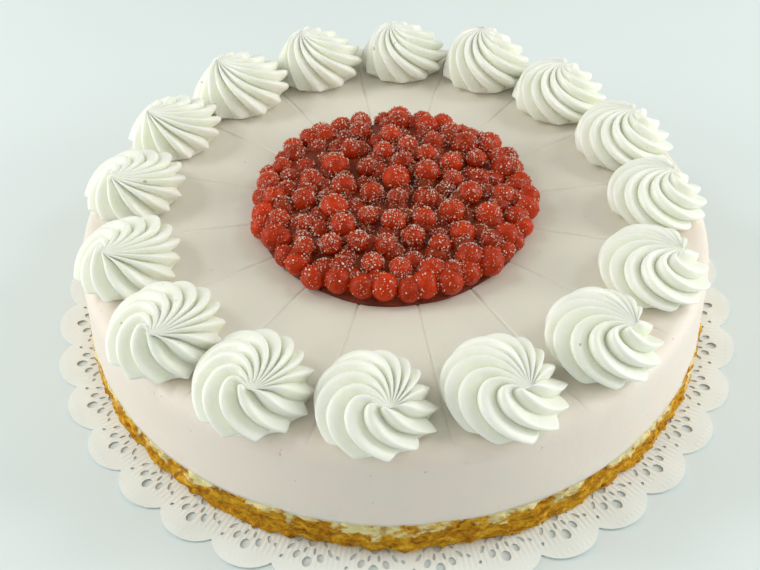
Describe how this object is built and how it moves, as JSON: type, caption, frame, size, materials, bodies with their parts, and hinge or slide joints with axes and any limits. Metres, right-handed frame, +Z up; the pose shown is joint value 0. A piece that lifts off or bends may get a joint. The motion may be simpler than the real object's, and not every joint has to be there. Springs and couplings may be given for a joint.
{
  "type": "currant torte",
  "caption": "Whole round cream torte on a baked crust layer, scored into portions, with a sugared currant heap in the middle, piped swirls round the rim and a lace doily.",
  "frame": {"origin": "middle of the doily's flat underside, on the surface that the torte stands on", "axes": "+Z up through the middle of the torte; -Y towards the side that faces the viewer"},
  "size_m": [0.2984, 0.2984, 0.0728],
  "materials": {
    "paper": "embossed white paper, matte",
    "crust": "rough baked crumb, golden brown",
    "cream": "smoothed cream, faint pink tint, satin",
    "piped_cream": "whipped cream, soft satin",
    "currant": "glossy red skin with sugar grains"
  },
  "bodies": {
    "root": {"lace_doily": "paper", "sponge_base": "crust", "cream_body": "cream", "currant_heap": "currant", "rosette_01": "piped_cream", "rosette_02": "piped_cream", "rosette_03": "piped_cream", "rosette_04": "piped_cream", "rosette_05": "piped_cream", "rosette_06": "piped_cream", "rosette_07": "piped_cream", "rosette_08": "piped_cream", "rosette_09": "piped_cream", "rosette_10": "piped_cream", "rosette_11": "piped_cream", "rosette_12": "piped_cream", "rosette_13": "piped_cream", "rosette_14": "piped_cream", "rosette_15": "piped_cream", "rosette_16": "piped_cream"}
  },
  "joints": []
}
